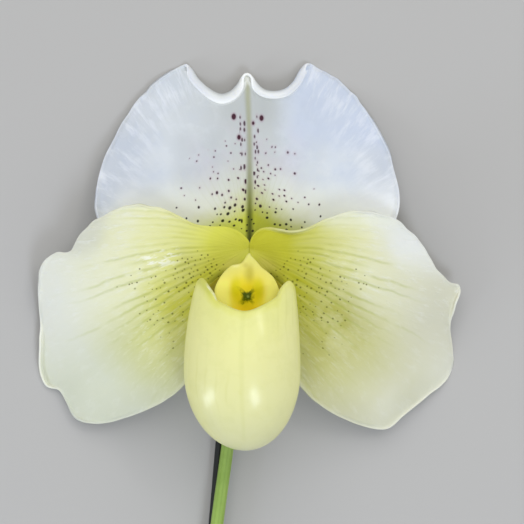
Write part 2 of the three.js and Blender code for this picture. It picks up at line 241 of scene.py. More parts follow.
def layOut(shape, levels):
    # rings from the middle to the end of the margin: where they lie from above, how far a curl
    # lifts them, how much of it is done there, how far out they are, and where it comes down
    rolled, turned = shape["rolled"], bladeRules["turned"]
    rim, outward = findRim(shape)
    curl = shape["curl"](rim[:, 0], rim[:, 1])
    curl, radius, tail = (soften(value, bladeRules["blur"]) for value in curl)
    angle = np.radians(curl)
    standOff = np.where(angle < math.pi / 2, radius * np.sin(angle) + tail * np.cos(angle), radius)
    start = rim - outward * (standOff + shape["edge"] / 2)[:, None]
    flat, reach = fillIn(start, shape["middle"], levels - rolled - turned)
    length = radius * angle + tail
    run = np.linspace(0, 1, rolled + turned + 1)[1:, None] * length
    run[rolled:] = run[rolled - 1]
    bend = np.minimum(run / radius, angle)
    rest = np.maximum(run - radius * angle, 0)
    out = radius * np.sin(bend) + rest * np.cos(angle)
    lift = radius * (1 - np.cos(bend)) + rest * np.sin(angle)
    curled = run / length * np.minimum(angle, bladeRules["fullCurl"]) / bladeRules["fullCurl"]
    flat = np.concatenate([flat, start + outward * out[:, :, None]])
    still = np.zeros((len(reach), shape["columns"]))
    reach = np.concatenate([reach * bladeRules["flatShare"] + still, np.ones_like(lift)])
    landed = flat[levels - turned][angle > bladeRules["folded"]]
    return flat, np.concatenate([still, lift]), np.concatenate([still, curled]), reach, landed


def makeBlade(name, shape, height, marks):
    # a petal or sepal: a front sheet, its thickness behind it, and a margin, rounded or curled
    columns, rows = shape["columns"], shape["rows"]
    levels, turned = rows // 2, bladeRules["turned"]
    piece, row, column = startBall(name, columns, rows)
    flat, lift, curled, reach, landed = layOut(shape, levels)
    x, y = flat[:, :, 0], flat[:, :, 1]
    turn = np.arctan2(y - shape["middle"][1], x - shape["middle"][0])
    front = np.stack([x, y, height(x, y, reach, turn) + lift], axis=2)
    sheet = front[:levels - turned + 1]
    normal = faceNormals(sheet)
    half = lerp(shape["thick"], shape["edge"], reach ** 4)[:, :, None] / 2
    beyond = unit(sheet[-1] - sheet[-2])[None]
    last = np.minimum(np.arange(levels + 1), levels - turned)
    inside = (sheet - normal * half[:levels - turned + 1])[last]
    normal = normal[last]
    step = np.maximum(np.arange(levels + 1) - (levels - turned), 0) / turned * math.pi / 2
    shrink, grow = np.cos(step)[:, None, None], np.sin(step)[:, None, None]
    level = np.where(row <= levels, row, rows - row)
    face = np.where(row <= levels, 1, -1)[:, None]
    points = (inside[level, column] + normal[level, column] * (half * shrink)[level, column] * face
              + (beyond * half * grow)[level, column])
    points[:, 2] = np.maximum(points[:, 2], -bloom["height"])
    toRim = np.cumsum(np.linalg.norm(np.diff(front, axis=0), axis=2)[::-1], axis=0)[::-1]
    toRim = np.concatenate([toRim, np.zeros((1, columns))])
    crease = np.full((levels + 1, columns), bladeRules["farOff"])  # to where a curl comes down
    if len(landed):
        sheetOnly = levels - shape["rolled"] - turned
        apart = np.linalg.norm(flat[:sheetOnly, :, None] - landed[None, None], axis=3)
        crease[:sheetOnly] = apart.min(axis=2) - shape["edge"] / 2
    found = dict(marks(x, y), hem=[curled, toRim, crease])
    found = {name: [part[level, column] for part in parts] for name, parts in found.items()}
    setShape(piece, points, face=[row <= levels], **found)
    return piece


def uncurled(tail):
    # the margin of a blade that rolls nowhere
    return lambda x, y: (0 * x, 0.9 + 0 * x, tail + 0 * x)


# helpers that make a finish

def operator(operation, reflected=False):
    # one kind of maths between a flow and another, or a number
    def apply(flow, other):
        return flow.maths(operation, *((other, flow) if reflected else (flow, other)))

    return apply


class Flow:
    # wraps a socket, so that maths on it reads as maths
    def __init__(self, finish, socket):
        self.finish = finish
        self.socket = socket

    def maths(self, operation, *values):
        return self.finish.node("Math", values, operation=operation)

    __add__ = __radd__ = operator("ADD")
    __sub__ = operator("SUBTRACT")
    __rsub__ = operator("SUBTRACT", reflected=True)
    __mul__ = __rmul__ = operator("MULTIPLY")
    __truediv__ = operator("DIVIDE")
    __rtruediv__ = operator("DIVIDE", reflected=True)
    __pow__ = operator("POWER")
    __rpow__ = operator("POWER", reflected=True)

    def __abs__(self):
        return self.maths("ABSOLUTE", self)

    def floor(self):
        return self.maths("FLOOR", self)

    def toWhole(self):
        # how far off the nearest whole number is, up to a half
        return self.maths("PINGPONG", self, 0.5)

    def ease(self, low, high, to=(0, 1)):
        # goes from the first to the second of two values, as this one goes from low to high
        return self.finish.node("MapRange", [self, low, high, *to], interpolation_type="SMOOTHSTEP")

    def within(self, outside, inside, otherOutside, otherInside):
        # one inside a stretch, fading out at both of its ends
        return self.ease(outside, inside) * self.ease(otherOutside, otherInside)


def light(red, green, blue):
    # a colour as picked on a screen, 0 to 255, turned into linear light
    parts = (part / 255 for part in (red, green, blue))
    parts = (((part + 0.055) / 1.055) ** 2.4 if part > 0.04 else part / 12.92 for part in parts)
    return (*parts, 1)


class Finish:
    # a material; its ground is the colour so far, which each tint lays another one over
    def __init__(self, name, **constants):
        self.material = bpy.data.materials.new(name)
        self.material.use_nodes = True
        self.nodes = self.material.node_tree.nodes
        self.links = self.material.node_tree.links
        self.shader = self.nodes["Principled BSDF"]
        self.shader.inputs["Subsurface Radius"].default_value = (1, 0.95, 0.8)
        for socket, value in constants.items():
            self.shader.inputs[socket.replace("_", " ")].default_value = value
        self.ground = None

    def node(self, kind, values=(), out=0, stops=(), **settings):
        # one node: its settings and a ramp's stops, then the values or links of its sockets
        made = self.nodes.new("ShaderNode" + kind)
        for key, value in settings.items():
            setattr(made, key, value)
        while stops and len(made.color_ramp.elements) < len(stops):
            made.color_ramp.elements.new(0.5)
        for k, (place, colour) in enumerate(stops):
            made.color_ramp.elements[k].position = place
            made.color_ramp.elements[k].color = light(*colour)
        for socket, value in values.items() if isinstance(values, dict) else enumerate(values):
            if isinstance(value, Flow):
                self.links.new(value.socket, made.inputs[socket])
            else:
                made.inputs[socket].default_value = value
        return Flow(self, made.outputs[out])

    def split(self, vector):
        made = self.node("SeparateXYZ", [vector]).socket.node
        return [Flow(self, made.outputs[k]) for k in range(3)]

    def join(self, x, y):
        return self.node("CombineXYZ", [x, y, 0])

    def mark(self, name, parts=3):
        # what the mesh knows of each place
        return self.split(self.node("Attribute", out="Vector", attribute_name=name))[:parts]

    def inFront(self, behind):
        # one on the face of a blade, the given share on its back
        return self.mark("face")[0].ease(0, 1, (behind, 1))

    def noise(self, scale, detail=2, rough=0.5, over=None, out=0):
        over = over or self.node("TexCoord", out="Object")
        settings = {"Vector": over, "Scale": scale, "Detail": detail, "Roughness": rough}
        return self.node("TexNoise", settings, out)

    def streaks(self, across, along, detail, rough=0.5):
        # noise drawn out along veins
        return self.noise(1, detail, rough, self.join(across, along))

    def length(self, x, y):
        return self.node("VectorMath", [self.join(x, y)], "Value", operation="LENGTH")

    def mix(self, factor, *colours):
        # two colours, each a flow or red, green and blue from 0 to 255
        first, second = (light(*one) if isinstance(one, tuple) else one for one in colours)
        return self.node("Mix", {"Factor": factor, 6: first, 7: second}, 2, data_type="RGBA")

    def tint(self, factor, colour):
        self.ground = self.mix(factor, self.ground, colour)

    def ramp(self, factor, *stops):
        return self.node("ValToRGB", [factor], stops=stops)

    def done(self, height, distance, **flows):
        # feeds the shader with the ground, with bumps of a height, and with what else varies
        bumps = self.node("Bump", {"Distance": distance, "Height": height})
        for socket, flow in dict(flows, Base_Color=self.ground, Normal=bumps).items():
            self.links.new(flow.socket, self.shader.inputs[socket.replace("_", " ")])
        return self

    def spots(self, vein, run, spacing, size, gather, width, stretch=0.78):
        # freckles in rows: one chance for each cell of a vein, kept where gather is high;
        # gives how many millimetres a place lies inside one
        row = (vein + 0.5).floor()
        cell = (run / spacing).floor()
        chance = self.node("TexWhiteNoise", {"Vector": self.join(row, cell)}, "Color",
                           noise_dimensions="2D")
        keep, alongShift, sideShift = self.split(chance)
        across = (vein - row - (sideShift - 0.5) * 0.6) * width
        along = run - (cell + 0.18 + alongShift * 0.64) * spacing
        grown = (gather - keep).ease(0, 0.12)
        radius = size * (0.45 + 0.55 * keep.maths("FRACT", keep * 17)) * grown
        return radius - self.length(across, along * stretch) - (1 - grown) * 1.5


def wear(piece, finish):
    piece.data.materials.clear()
    piece.data.materials.append(finish.material)


def dress(piece, finish, node):
    wear(piece, finish)
    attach(piece, "root")
    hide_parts(node)


# a thin flesh with a satin skin
satin = {
    "Roughness": 0.46,
    "Subsurface_Weight": 0.4,
    "Subsurface_Scale": 0.0012,
    "Coat_Weight": 0.05,
    "Coat_Roughness": 0.3,
    "Specular_IOR_Level": 0.08,
}

petalShape = {
    "columns": 300,
    "rows": 120,
    "rolled": 12,
    "thick": 1.1,
    "edge": 0.6,
    "lift": 14.5,  # of its foot over the heart
    "rise": 0.3,  # slope at its foot
    "bow": 0.0094,
    "ripple": lambda x, y: (0.07 + 0.19 * smooth(-16, -4, y)) * smooth(16, 30, np.hypot(x, y)),
}
leftOutline = [
    (0.72, -0.9), (-0.2, 0.6), (-2.4, 2.4), (-5.4, 3.5), (-9.7, 3.7), (-13.6, 4.3), (-18, 6.5),
    (-22.7, 8.5), (-27.9, 9.3), (-32.6, 8.8), (-38, 6.4), (-42.5, 3.3), (-44.6, 1.1), (-45.5, -1),
    (-46.4, -2.5), (-48.2, -3.1), (-50.4, -3), (-52.5, -3.8), (-54.6, -6), (-55.9, -11),
    (-56, -18.5), (-55.4, -26.5), (-55.7, -34.5), (-54.1, -38.6), (-50.8, -40.1), (-48.7, -43.6),
    (-46.2, -47.6), (-40.9, -48.9), (-34.5, -47.7), (-26.5, -44.6), (-19.5, -40.6), (-13.6, -34),
    (-9.6, -24), (-5.2, -14), (-1.2, -8), (0.4, -5.6), (0.7, -2.9),
]
rightOutline = [
    (0.3, -0.9), (1, 1.1), (2.8, 2.9), (5.4, 3.3), (8.2, 2.6), (11, 2.1), (14.3, 2.6), (20.1, 5.6),
    (26, 7.4), (32.9, 7.4), (39.5, 5), (44.9, 0), (50.4, -8.1), (53.4, -10.9), (56, -11.6),
    (56.4, -12.9), (54.8, -16.6), (54.1, -22.6), (55, -29), (55.3, -33), (53.5, -37),
    (47, -42.2), (41, -46.8), (37.4, -49.8), (32.6, -49.9), (25.6, -47.3), (19, -43.4),
    (13, -37.5), (10.4, -31), (8.2, -22), (5, -13), (1.5, -8), (0.3, -5.6), (0.25, -2.9),
]


def petalHeight(side, tilt):
    # a petal leans back from its foot, bows along the way out and sweeps back to both sides
    alongX, alongY = side * math.cos(math.radians(tilt)), math.sin(math.radians(tilt))

    def height(x, y, reach, turn):
        u = (x - side) * alongX + (y + 1) * alongY
        w = (y + 1) * abs(alongX) - (x - side) * alongY * side
        sweep = np.where(w > 0, 0.22 * softAbs(w), 0.1 * softAbs(w) + 0.0022 * w * w)
        wave = 0.55 * np.sin(5 * turn) + 0.35 * np.sin(9 * turn + 1)
        lift = petalShape["lift"] + petalShape["rise"] * u - petalShape["bow"] * u * u
        return lift - sweep + wave * reach ** 4

    return height


def leftCurl(x, y):
    # where the margin rolls forward: by how many degrees, how wide, and how far it runs on straight
    outer = smooth(-50, -53, x) * smooth(-20, -27, y) * smooth(-42, -38, y)
    return 110 * outer, 0.6 + 0.3 * outer, 0.35 + 0.2 * outer


def rightCurl(x, y):
    inner = bump(x - 11, 5.5) * (y > 0)
    tip = smooth(52, 54, x) * smooth(-12, -14, y) * smooth(-24, -18, y)
    low = smooth(30, 38, x) * smooth(-32, -38, y)
    tail = 0.35 + 0.15 * inner + 0.3 * tip
    return 115 * inner + 95 * tip + 50 * low, 0.6 + 0.1 * inner + 0.3 * tip, tail


def petalMarks(side):
    # the number of the vein that a place is nearest to, and how far out it is
    def marks(x, y):
        away = np.hypot(x - side * 0.6, y + 2)
        angle = np.degrees(np.arctan2(-(y + 2), side * x + 0.4))
        vein = (angle + smooth(10, 46, away) * (0.4 * angle - 10)) / 4.7
        return {"fan": [vein, away]}

    return marks


def petalFinish(name, tones):
    skin = Finish(name, **satin)
    vein, away = skin.mark("fan", 2)
    curled, toRim = skin.mark("hem", 2)
    cloud = skin.noise(45, 3)
    wander = skin.noise(55, 3, 0.55) - 0.5
    blur = (away + (cloud - 0.5) * 14) / 60
    upper, lower = skin.ramp(blur, *tones["upper"]), skin.ramp(blur, *tones["lower"])
    skin.ground = skin.mix((vein - away.ease(20, 37) * 2.4).ease(0.5, 7.5), upper, lower)
    # painted shade: a greyer strip along the lower inner margin beside the pouch
    foot = vein.ease(6, 11) * toRim.ease(11, 0.5) * away.ease(20, 33)
    skin.tint(foot * 0.4, tones["foot"])
    band = skin.streaks(vein * 0.9, away * 0.04, 3, 0.6)
    pale = band.ease(0.44, 0.64) * away.within(46, 20, 8, 18)
    skin.tint(pale * 0.42, tones["pale"])
    mottle = skin.noise(85, 4, 0.6).ease(0.48, 0.62) * away.within(18, 28, 44, 32)
    skin.tint(mottle * 0.3, (226, 225, 180))
    warm = vein.ease(5.2, 7.8) * away.within(10.5, 6.5, 2.6, 5.2)
    skin.tint(warm * 0.24, (226, 208, 130))
    # painted shade: dark olive low beside the heart, where the shield and ears shade the petal
    throatShade = vein.ease(tones["throatShade"], tones["throatShade"] + 2.6) * away.within(19, 11, 6, 10)
    skin.tint(throatShade * 0.85, (112, 110, 12))
    bent = vein + wander * 1.5
    line = bent.toWhole()
    row = (bent + 0.5).floor()
    own = skin.node("TexWhiteNoise", {"W": row}, "Value", noise_dimensions="1D")
    strip = skin.streaks(row * 3.7, away * 0.11, 2)
    strength = (away - own * 28).ease(32, 14) * away.ease(3, 20, (0.1, 0.8))
    strength = strength * away.ease(24, 44, (1, 0.55)) * strip.ease(0.34, 0.56, (0.2, 1))
    strength = strength * vein.ease(-3, 1, (0.35, 1)) * vein.ease(14, 8, (0.35, 1))
    streak = (line * away * 0.066).ease(away.ease(10, 40, (0.42, 0.62)), 0) * strength
    skin.tint(streak * 0.72, skin.mix(away.ease(10, 36), (166, 169, 26), (180, 188, 92)))
    # the thin upper margin: on the left petal a greyer tint, painted shade of its translucent
    # margin; on the right a whiter tint
    thin = (vein + (cloud - 0.5) * 4).ease(-0.6, -3) * away.within(34, 40, 50, 45)
    skin.tint(thin * tones["thinShare"], tones["thin"])
    lobe = (away - vein * 1.2).ease(33.5, 41) * vein.ease(1.5, -1)
    skin.tint(lobe * tones["lobe"], (236, 238, 232))
    crest = vein.ease(-2.5, -5) * away.ease(16, 23)
    skin.tint(crest * tones["crest"], (234, 237, 222))
    # painted sheen: bright streaks over the outer blade
    frostSheen = skin.streaks(vein * 1.6, away * 0.2, 4, 0.65).ease(0.5, 0.7)
    frostSheen = frostSheen * away.ease(16, 30) * vein.ease(7, 1, (0.35, 1))
    skin.tint(frostSheen * 0.35, (243, 244, 238))
    # painted glints: small bright flecks on the outer blade
    fleck = skin.streaks(vein * 3.2, away * 0.34, 3, 0.6).ease(0.52, 0.7)
    fleck = fleck * away.within(15, 25, 50, 36)
    skin.tint(fleck * tones["fleck"], (240, 241, 222))
    sheen = abs(vein - 1.1).ease(2.2, 0.4) * abs(away - 22.5).ease(8, 2) * skin.inFront(0)
    sheen = sheen * skin.streaks(vein * 1.5, away * 0.22, 3, 0.6).ease(0.5, 0.6)
    skin.tint(sheen * tones["sheen"], (250, 250, 238))
    gather = away.within(42, 24, 5, 10) * vein.ease(-0.5, 3)
    gather = gather * vein.ease(14, 9, (0.4, 1)) * cloud.ease(0.4, 0.6, (0.45, 0.8))
    inside = skin.spots(vein + wander, away, 1.3, 0.23, gather, away * 0.066)
    ink = inside.ease(-0.1, 0.1) * own.ease(0, 1, (0.5, 0.85)) * skin.inFront(0.25)
    skin.tint(ink, (92, 94, 20))
    margin = toRim.ease(1, 0.2) * away.ease(12, 34, (0, 0.2))
    skin.tint(margin + curled * 0.5, (242, 242, 226))
    grain = skin.noise(900) * 0.3 - streak
    return skin.done(grain + cloud * 0.8 + frostSheen * 0.6 + band * 1.4, 0.00013,
                     Roughness=strip.ease(0.3, 0.7, (0.4, 0.55)))


def makePetal(name, side, outline, tilt, curl, tones):
    shape = dict(petalShape, outline=outline, middle=(side * 30, -18), curl=curl)
    piece = makeBlade(name, shape, petalHeight(side, tilt), petalMarks(side))
    dress(piece, petalFinish(name + "_skin", tones), name)


leftTones = {
    "upper": [(0, (220, 219, 78)), (0.16, (222, 222, 94)), (0.3, (225, 225, 142)),
              (0.4, (229, 229, 170)), (0.52, (234, 234, 196)), (0.85, (230, 231, 217))],
    "lower": [(0, (226, 225, 98)), (0.25, (209, 208, 70)), (0.4, (206, 205, 86)),
              (0.52, (209, 210, 128)), (0.66, (208, 210, 158)), (0.86, (214, 217, 194))],
    "thin": (200, 201, 192),
    "thinShare": 0.5,
    "lobe": 0,
    "crest": 0,
    "foot": (202, 205, 185),
    "pale": (226, 226, 158),
    "sheen": 0.75,
    "fleck": 0.28,
    "throatShade": 7,
}
rightTones = {
    "upper": [(0, (203, 200, 54)), (0.16, (200, 198, 58)), (0.3, (210, 210, 114)),
              (0.4, (224, 224, 162)), (0.52, (233, 233, 200)), (0.85, (217, 216, 194))],
    "lower": [(0, (222, 219, 88)), (0.25, (186, 184, 46)), (0.4, (183, 181, 68)),
              (0.52, (184, 182, 94)), (0.66, (208, 207, 150)), (0.86, (218, 217, 186)),
              (1, (230, 230, 212))],
    "thin": (234, 237, 240),
    "thinShare": 0.65,
    "lobe": 0.6,
    "crest": 0.5,
    "foot": (187, 186, 148),
    "pale": (214, 212, 132),
    "sheen": 0.15,
    "fleck": 0.14,
    "throatShade": 7.8,
}
makePetal("petal_left", -1, leftOutline, -4, leftCurl, leftTones)
makePetal("petal_right", 1, rightOutline, -11.5, rightCurl, rightTones)
print("petals done")

dorsalShape = {
    "columns": 360,
    "rows": 140,
    "rolled": 22,
    "thick": 1.1,
    "edge": 0.7,
    "lift": 13.1,
    "lean": 0.324,
    "middle": (0, 18),
    "outline": [
        (0.4, -1.4), (3.6, -1.2), (9.8, -1.8), (18.8, -2.6), (29.2, -1.5), (36.8, 2), (39.8, 8.6),
        (39.7, 14.8), (37.2, 24.1), (31.3, 35.3), (24.7, 42.9), (18.6, 46.5), (16.4, 47.5),
        (14.4, 46), (12, 42), (9.6, 40), (6.8, 39.4), (4.2, 39.9), (2.3, 41.5), (0.7, 43.7),
        (-0.4, 44.4), (-1.4, 43.7), (-2.7, 41.6), (-4.6, 39.6), (-7, 38.7), (-9.6, 39.6),
        (-13.4, 42.8), (-15.4, 45.8), (-16.9, 47.1), (-18.8, 46.7), (-24.4, 43), (-31.4, 35.4),
        (-37.4, 24.2), (-40.2, 14.6), (-40.2, 8), (-36.9, 1.9), (-29.5, -1.5), (-19, -2.6),
        (-9.9, -1.8), (-3.2, -1.2),
    ],
    "largeSpots": ((-3.85, 32.8, 0.64), (3.5, 32.4, 0.6), (-2.45, 27.2, 0.52), (1.3, 31, 0.4)),
}


def dorsalHeight(x, y, reach, turn):
    lean = dorsalShape["lift"] - dorsalShape["lean"] * y - 0.0028 * x * x
    keel = 0.5 * bump(x - ribAt(y), 1.1)
    wave = 0.5 * np.sin(6 * turn) * reach ** 4
    return lean + keel + wave * smooth(3, 6, y)


def ribAt(y):
    # the midrib runs a little to the right of the middle and back to the tip
    return 0.42 - 0.7 * smooth(22, 45, y)


def dorsalCurl(x, y):
    # both hollows beside the tip are rolled right over
    left = smooth(-17.6, -15.2, x) * smooth(0.2, -3, x) * (y > 36)
    right = smooth(17, 13.6, x) * smooth(-0.8, 2.6, x) * (y > 36)
    deep = left * bump(x + 6.9, 3.6)
    rolled = left + right
    tail = 0.25 + (0.55 - 0.2 * smooth(9, 13, x)) * rolled + 0.85 * deep
    return (225 - 13 * deep) * rolled, 0.33 + 0.15 * deep, tail


def dorsalMarks(x, y):
    angle = np.degrees(np.arctan2(x - ribAt(y) * 0.8, y + 5))
    vein = angle / (2 + 0.035 * np.abs(angle))
    return {"fan": [vein, np.hypot(x, y + 5)], "flat": [x, y, x - ribAt(y)]}


def dorsalFinish():
    skin = Finish("dorsal_skin", **satin, Emission_Strength=1)
    vein, away = skin.mark("fan", 2)
    x, y, offRib = skin.mark("flat")
    curled, toRim, crease = skin.mark("hem")
    cloud = skin.noise(60, 4, 0.6)
    side = abs(vein)
    across = abs(x)
    outward = side.ease(3, 14)
    skin.ground = skin.mix(outward, (204, 208, 207), (220, 225, 229))
    skin.tint(cloud.ease(0.38, 0.62) * 0.55 * outward, (202, 212, 227))
    haze = skin.noise(130, 5, 0.62).ease(0.44, 0.62)
    skin.tint(haze * across.ease(3, 10) * 0.3, (233, 237, 239))
    # painted shade towards the left and right margins
    skin.tint(x.ease(-18, -32) * 0.42, (192, 197, 205))
    skin.tint(x.ease(25, 35) * 0.4, (196, 200, 208))
    # painted shade beside the top of the rib, where the hooded top faces down
    hoodShade = y.ease(26, 36) * across.ease(12, 4) * x.ease(1, 4, (0.5, 0.75))
    skin.tint(hoodShade, (188, 192, 190))
    cold = x.ease(5, 15) * y.ease(20, 30)
    skin.tint(cold * 0.55, (200, 211, 232))
    # painted sheen: bright streaks running out towards the margin
    frostSheen = skin.streaks(vein * 2.3, away * 0.12, 4, 0.62).ease(0.43, 0.67)
    frostSheen = frostSheen * toRim.ease(17, 3) * across.ease(11, 18)
    skin.tint(frostSheen * 0.55, (240, 243, 248))
    shade = x.within(-5, -9, -22, -17) * y.within(10, 15, 31, 26)
    skin.tint(shade * 0.3, (190, 194, 196))
    # painted light low on both sides beside the petals' top lobes, lifting the shade they cast;
    # weaker on the right
    dull = x.within(9, 14, 26, 18)
    low = y.ease(19, 5) * outward * x.ease(-39, -31) * (1 - dull * 0.4)
    skin.tint(low * 0.95, (250, 252, 249))
    blush = skin.noise(120, 3).ease(0.45, 0.65) * across.ease(20, 8) * y.ease(34, 24)
    skin.tint(blush * 0.22, (212, 198, 214))
    warm = (y + across * 0.35).ease(26, 11)
    skin.tint(warm * 0.75, (222, 223, 200))
    flush = (abs(x - 1.2) * 0.54 + (y + 2) * 0.9 + (cloud - 0.5) * 9).ease(17, 7)
    green = skin.mix(x.ease(-1.5, 2.5), (204, 208, 68), (174, 178, 34))
    skin.tint(flush * 0.97, green)
    streak = vein.toWhole().ease(0.2, 0.02) * away.ease(30, 10) * side.ease(14, 8)
    skin.tint(streak * 0.16, (166, 174, 80))
    offCentre = abs(offRib)
    ribEdge = y.ease(8, 24, (1.45, 1.3))
    rib = (offCentre + (cloud - 0.5) * 0.3).ease(ribEdge, 0.08)
    ribColour = skin.ramp(
        away / 50, (0.13, (52, 60, 2)), (0.23, (84, 92, 8)), (0.31, (122, 127, 52)),
        (0.4, (146, 149, 110)), (0.52, (164, 166, 142)), (0.93, (180, 182, 156)))
    # near the tip the rib fades and the inside of the tip is whitened: painted light lifting the
    # shade under the rolled tip
    skin.tint(rib * y.ease(43.8, 40.5, (0.3, 0.92)), ribColour)
    skin.tint(y.ease(40.8, 43.2) * across.ease(3.2, 1.2) * 0.8, (238, 239, 230))
    shakeX, shakeY, _ = skin.split(skin.noise(70, 0, out="Color"))
    dome = (across / 19.5) ** 2.6 + abs((y - 8) / 20) ** 2.6
    fan = dome.ease(1.05, 0.85) * (y + across * 0.5).ease(26, 8, (0.44, 0.86))
    fan = fan * across.ease(14, 7, (0.55, 1)) * (offCentre + y.ease(9, 6)).ease(0.9, 1.3)
    inside = skin.spots((x + (shakeX - 0.5) * 4) / 1.6, y + (shakeY - 0.5) * 4, 1.6,
                        (y + across * 0.5).ease(24, 8, (0.28, 0.42)), fan, 1.6, 0.95)
    beside = offCentre.within(2.7, 2.5, 0.8, 0.95)
    beside = beside * y.ease(35.5, 34.5) * y.ease(9, 16, (0.15, 0.68))
    dashes = skin.spots(offRib / 0.85 + 0.47, y, 2, 0.37, beside, 0.85, 0.48)
    inside = inside.maths("MAXIMUM", inside, dashes)
    front = skin.inFront(0.22)
    halo = inside.ease(-0.6, 0.05) * y.ease(6, 12)
    skin.tint(halo * 0.2, (180, 130, 156))
    dark = skin.mix(y.ease(14, 6), (60, 16, 42), (20, 16, 2))
    ink = inside.ease(-0.1, 0.12) * y.ease(24, 14, (0.84, 0.96)) * front
    skin.tint(ink, dark)
    for spotX, spotY, size in dorsalShape["largeSpots"]:
        apart = skin.length(x - spotX, (y - spotY) * 0.7)
        skin.tint(apart.ease(size + 0.45, size) * 0.3, (170, 110, 140))
        ink = apart.ease(size + 0.1, size - 0.2) * front
        skin.tint(ink * 0.96, (64, 8, 36))
    skin.tint(toRim.ease(1, 0.2) * 0.25, (240, 243, 245))
    # the rolled margin is painted whiter: a painted highlight where it turns up to the light
    roll = skin.mix(across.ease(13, 8), (226, 228, 231), (240, 241, 238))
    skin.tint(curled.ease(0.25, 0.6), roll)
    # painted light: the blade is whitened where a rolled margin comes down on it, lifting the shade
    # in the crease
    landing = crease.ease(0.7, 0.05)
    skin.tint(landing * 0.5, (240, 241, 238))
    glow = skin.mix(curled.ease(0.55, 0.9), (0, 0, 0), (98, 99, 98))
    glow = skin.mix(landing, glow, (92, 94, 95))  # painted glow: emission lights the rolled margin and its crease, standing in for light through the thin rolled margin
    band = skin.streaks(vein * 1.2, away * 0.12, 3)
    return skin.done(cloud * 0.8 + band * 0.8 + frostSheen * 0.6 + skin.noise(900) * 0.25, 0.0001,
                     Emission_Color=glow)


dorsalShape["curl"] = dorsalCurl
dorsalShape["ripple"] = lambda x, y: 0.23 * smooth(18, 24, np.abs(x)) * smooth(3, 9, y)
dorsalShape["crowding"] = lambda x, y: 1 + 1.4 * smooth(30, 38, y)
dorsal = makeBlade("dorsal_sepal", dorsalShape, dorsalHeight, dorsalMarks)
dress(dorsal, dorsalFinish(), "dorsal_sepal")

ventralShape = {
    "columns": 160,
    "rows": 72,
    "thick": 1.1,
    "edge": 0.7,
    "lift": 12.7,
    "middle": (-0.6, -22),
    "rolled": 6,
    "curl": uncurled(0.6),
    "ripple": lambda x, y: 0.2 * smooth(12, 20, np.abs(y)),
    "outline": [
        (0, -0.5), (-2.6, -1.4), (-5.2, -6), (-7.6, -13), (-9.2, -22), (-8.9, -31),
        (-6.8, -39), (-3.4, -44.6), (-0.6, -46.8), (2.2, -44.6), (5.4, -39), (7.4, -31),
        (7.8, -22), (6.6, -13), (4.8, -6), (2.6, -1.4),
    ],
}


def ventralHeight(x, y, reach, turn):
    return ventralShape["lift"] + 0.07 * y + 0.0011 * y * y + 0.008 * x * x


def ventralMarks(x, y):
    return {"fan": [np.degrees(np.arctan2(x + 0.4, 4 - y)) / 4, np.hypot(x, y)]}


def ventralFinish():
    skin = Finish("ventral_skin", Roughness=0.45, Subsurface_Weight=0.12, Subsurface_Scale=0.002)
    vein, away = skin.mark("fan", 2)
    cloud = skin.noise(60, 3)
    skin.ground = skin.ramp((away + (cloud - 0.5) * 12) / 50,
                            (0, (150, 160, 60)), (0.4, (196, 206, 140)), (0.9, (222, 227, 208)))
    line = vein.toWhole()
    skin.tint(line.ease(0.18, 0.02) * 0.5, (140, 158, 70))
    return skin.done(line.ease(0.5, 0) * -1 + cloud * 0.5, 0.00016)


ventral = makeBlade("ventral_sepal", ventralShape, ventralHeight, ventralMarks)
dress(ventral, ventralFinish(), "ventral_sepal")
print("sepals done")

pouch = {
    "toe": -53.3,
    "halfWidth": 14.65,
    "widest": -33,
    "sideTaper": 0.0045,
    "halfDepth": 12.1,
    "deepest": -31,
    "depthTaper": 0.0075,
    "wall": 1.2,
    "underRim": 1.2,  # where the wall ends outside, and the next one inside
    "underRimInside": 1.6,
    "columns": 192,
    "wallRows": 44,
    "rimRows": 20,
    "innerRows": 36,
    "rowSpacing": 1.7,  # rows lie closer at the toe
    "rim": [  # angle from the front in degrees, height of the rim
        (-180, -5.6), (-150, -8.6), (-122, -12.2), (-100, -12.4), (-86, -10.7), (-73, -9.6),
        (-62, -10), (-54, -10.8), (-46, -11.9), (-38, -13.3), (-32, -14.9), (-24, -15.8),
        (-16, -16.6), (-8, -17.3), (0, -17.7), (8, -17.5), (16, -16.8), (24, -16), (33, -15),
        (41, -14), (47, -12.4), (54, -11.2), (64, -10.4), (73, -10.5), (86, -11.7), (100, -12.8),
        (122, -12.4), (150, -8.6), (180, -5.6),
    ],
    "profile": [  # over the rim: inset, its change with the fold, height, its change with the fold
        (0, 0, -1.2, 0), (0.06, 0, -0.45, 0), (0.5, 0.25, 0, -0.15), (1, 0.95, -0.35, -0.85),
        (1.15, 1, -0.8, -0.95), (1.15, 0.45, -1.05, -0.62), (1.2, 0, -1.6, -0.25),
    ],
}


def pouchRadius(y, full, level, taper, inset):
    share = np.clip((level - y) / (level - pouch["toe"] - inset), 0, 1)
    below = (full - inset) * np.sqrt(1 - share * share)
    return np.where(y > level, full - inset - taper * (y - level) ** 2, below)


def pouchPoint(angle, y, inset):
    halfWidth = pouchRadius(y, pouch["halfWidth"], pouch["widest"], pouch["sideTaper"], inset)
    halfDepth = pouchRadius(y, pouch["halfDepth"], pouch["deepest"], pouch["depthTaper"], inset)
    x = -1.35 + 0.0016 * (y - pouch["widest"]) ** 2 + halfWidth * np.sin(angle)
    z = 26 - 0.004 * (y - pouch["deepest"]) ** 2 + halfDepth * np.cos(angle)
    return np.stack([x, y, z], axis=-1)


